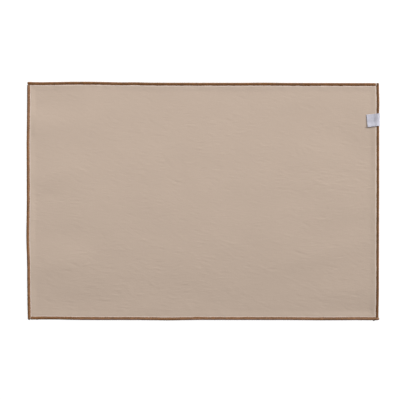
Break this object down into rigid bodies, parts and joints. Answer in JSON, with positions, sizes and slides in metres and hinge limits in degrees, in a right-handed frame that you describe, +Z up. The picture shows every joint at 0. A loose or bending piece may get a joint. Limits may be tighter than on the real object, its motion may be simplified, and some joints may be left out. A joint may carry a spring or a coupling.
{
  "type": "fabric placemat",
  "caption": "Flat rectangular cotton placemat in beige, with a brown overlocked edge and a small pale tape label folded round its right side.",
  "frame": {"origin": "on the table surface, under the middle of everything that is built", "axes": "+Z up from the table, +X along the long side to the right, +Y to the back; the label is on the +X side near the back"},
  "size_m": [0.4512, 0.3046, 0.0044],
  "materials": {
    "cloth": "matt washed cotton with faint uneven crinkles",
    "edging_thread": "overlocked brown thread, dull sheen",
    "label_tape": "smooth pale woven tape"
  },
  "bodies": {
    "root": {"panel": "cloth", "edging_front": "edging_thread", "edging_right": "edging_thread", "edging_back": "edging_thread", "edging_left": "edging_thread", "label": "label_tape"}
  },
  "joints": []
}
